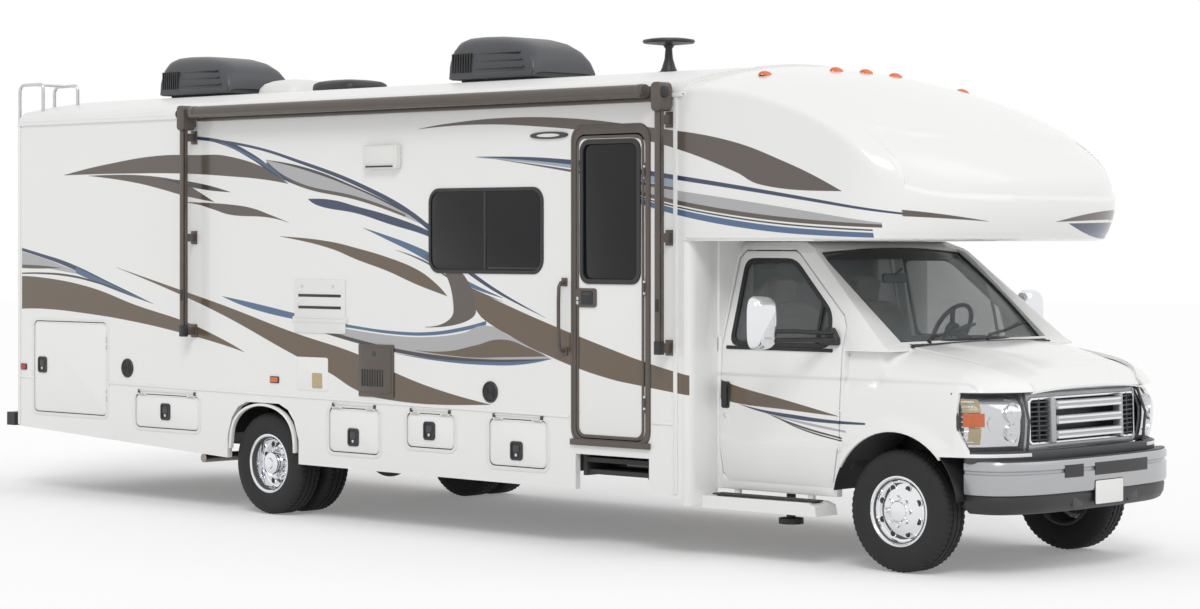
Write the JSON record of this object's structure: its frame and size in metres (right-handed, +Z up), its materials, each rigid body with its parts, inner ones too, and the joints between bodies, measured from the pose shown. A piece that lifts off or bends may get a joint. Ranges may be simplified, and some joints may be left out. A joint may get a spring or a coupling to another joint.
{
  "type": "class c motorhome",
  "caption": "Cab-over motorhome on a van cutaway chassis, with rolling and steered wheels, opening cab doors, entry door, hood and storage hatches.",
  "frame": {"origin": "on the ground, below the middle of the vehicle's overall box", "axes": "+X forwards along the vehicle, +Y to the driver's side, +Z up"},
  "size_m": [9.85, 3.099, 3.5022],
  "materials": {
    "frame_black": "satin",
    "cast_metal": "rough",
    "axle_steel": "satin",
    "tank_plastic": "matte",
    "exhaust_steel": "dull",
    "cab_paint": "gloss",
    "cab_carpet": "matte",
    "grille_plastic": "gloss",
    "lamp_lens": "gloss",
    "bumper_paint": "satin",
    "clear_glass": "gloss",
    "dash_plastic": "matte",
    "seat_fabric": "woven",
    "gelcoat": "gloss",
    "floor_wood": "satin",
    "tub_plastic": "matte",
    "tinted_glass": "gloss",
    "step_steel": "satin",
    "awning_metal": "satin",
    "roof_plastic": "satin",
    "bare_aluminium": "satin",
    "fitting_plastic": "satin",
    "tyre_rubber": "matte",
    "bright_chrome": "mirror"
  },
  "bodies": {
    "coach": {"chassis_frame": "frame_black", "powertrain": "cast_metal", "front_axle": "axle_steel", "rear_axle": "axle_steel", "leaf_springs": "axle_steel", "tanks": "tank_plastic", "exhaust": "exhaust_steel", "cab_body": "cab_paint", "cab_floor": "cab_carpet", "grille": "grille_plastic", "lamps": "lamp_lens", "front_bumper": "bumper_paint", "windscreen": "clear_glass", "dashboard": "dash_plastic", "steering_wheel": "dash_plastic", "cab_seats": "seat_fabric", "running_boards": "gelcoat", "house_floor": "floor_wood", "storage_boxes": "tub_plastic", "right_wall": "gelcoat", "left_wall": "gelcoat", "rear_wall": "gelcoat", "roof": "gelcoat", "front_cap": "gelcoat", "house_windows": "tinted_glass", "entry_step": "step_steel", "awning": "awning_metal", "air_conditioners": "roof_plastic", "roof_vents": "roof_plastic", "ladder": "bare_aluminium", "rear_bumper": "frame_black", "side_fittings": "fitting_plastic"},
    "left_knuckle": {"knuckle_left": "cast_metal"},
    "right_knuckle": {"knuckle_right": "cast_metal"},
    "left_front_wheel": {"front_left_tyre": "tyre_rubber", "front_left_rim": "bright_chrome"},
    "right_front_wheel": {"front_right_tyre": "tyre_rubber", "front_right_rim": "bright_chrome"},
    "left_rear_wheels": {"rear_left_tyres": "tyre_rubber", "rear_left_rims": "bright_chrome"},
    "right_rear_wheels": {"rear_right_tyres": "tyre_rubber", "rear_right_rims": "bright_chrome"},
    "hood_lid": {"hood": "cab_paint"},
    "left_cab_door": {"cab_door_left": "cab_paint", "door_glass_left": "clear_glass", "mirror_left": "bright_chrome"},
    "right_cab_door": {"cab_door_right": "cab_paint", "door_glass_right": "clear_glass", "mirror_right": "bright_chrome"},
    "entry_door_leaf": {"entry_door": "gelcoat", "entry_door_glass": "tinted_glass"},
    "right_rear_hatch": {"rear_hatch_right": "gelcoat"},
    "left_rear_hatch": {"rear_hatch_left": "gelcoat"},
    "right_tail_hatch": {"tail_hatch_right": "gelcoat"},
    "right_mid_hatch": {"mid_hatch_right": "gelcoat"},
    "left_mid_hatch": {"mid_hatch_left": "gelcoat"},
    "right_centre_hatch": {"centre_hatch_right": "gelcoat"},
    "right_front_hatch": {"front_hatch_right": "gelcoat"}
  },
  "joints": [
    {"name": "steer_left", "type": "hinge", "parent": "coach", "child": "left_knuckle", "pos_m": [4.055, 0.79, 0.372], "axis": [0, 0, 1], "range_deg": [-33, 33]},
    {"name": "steer_right", "type": "hinge", "parent": "coach", "child": "right_knuckle", "pos_m": [4.055, -0.79, 0.372], "axis": [0, 0, 1], "range_deg": [-33, 33]},
    {"name": "spin_front_left", "type": "hinge", "parent": "left_knuckle", "child": "left_front_wheel", "pos_m": [4.055, 0.88, 0.372], "axis": [0, 1, 0], "continuous": true},
    {"name": "spin_front_right", "type": "hinge", "parent": "right_knuckle", "child": "right_front_wheel", "pos_m": [4.055, -0.88, 0.372], "axis": [0, 1, 0], "continuous": true},
    {"name": "spin_rear_left", "type": "hinge", "parent": "coach", "child": "left_rear_wheels", "pos_m": [-1.53478, 0.9775, 0.372], "axis": [0, 1, 0], "continuous": true},
    {"name": "spin_rear_right", "type": "hinge", "parent": "coach", "child": "right_rear_wheels", "pos_m": [-1.53478, -0.9775, 0.372], "axis": [0, 1, 0], "continuous": true},
    {"name": "open_hood", "type": "hinge", "parent": "coach", "child": "hood_lid", "pos_m": [3.999, 0, 1.3665], "axis": [0, -1, 0], "range_deg": [0, 45]},
    {"name": "open_cab_door_right", "type": "hinge", "parent": "coach", "child": "right_cab_door", "pos_m": [3.627, -1.017, 0.845], "axis": [0, 0, 1], "range_deg": [0, 65]},
    {"name": "open_cab_door_left", "type": "hinge", "parent": "coach", "child": "left_cab_door", "pos_m": [3.627, 1.017, 0.845], "axis": [0, 0, -1], "range_deg": [0, 65]},
    {"name": "open_entry_door", "type": "hinge", "parent": "coach", "child": "entry_door_leaf", "pos_m": [2.2485, -1.277, 1.71], "axis": [0, 0, 1], "range_deg": [0, 100]},
    {"name": "open_rear_hatch_right", "type": "hinge", "parent": "coach", "child": "right_rear_hatch", "pos_m": [-3.40073, -1.277, 1.005], "axis": [0, 0, 1], "range_deg": [0, 110]},
    {"name": "open_rear_hatch_left", "type": "hinge", "parent": "coach", "child": "left_rear_hatch", "pos_m": [-3.40073, 1.277, 1.005], "axis": [0, 0, -1], "range_deg": [0, 110]},
    {"name": "open_tail_hatch_right", "type": "hinge", "parent": "coach", "child": "right_tail_hatch", "pos_m": [-2.65318, -1.277, 0.8325], "axis": [-1, 0, 0], "range_deg": [0, 100]},
    {"name": "open_mid_hatch_right", "type": "hinge", "parent": "coach", "child": "right_mid_hatch", "pos_m": [-0.53186, -1.277, 0.8185], "axis": [-1, 0, 0], "range_deg": [0, 100]},
    {"name": "open_centre_hatch_right", "type": "hinge", "parent": "coach", "child": "right_centre_hatch", "pos_m": [0.25417, -1.277, 0.8145], "axis": [-1, 0, 0], "range_deg": [0, 100]},
    {"name": "open_front_hatch_right", "type": "hinge", "parent": "coach", "child": "right_front_hatch", "pos_m": [1.10377, -1.277, 0.8125], "axis": [-1, 0, 0], "range_deg": [0, 100]},
    {"name": "open_mid_hatch_left", "type": "hinge", "parent": "coach", "child": "left_mid_hatch", "pos_m": [-0.53186, 1.277, 0.8185], "axis": [1, 0, 0], "range_deg": [0, 100]}
  ],
  "couplings": [
    {"joint": "steer_right", "follows": "steer_left", "ratio": 1}
  ]
}
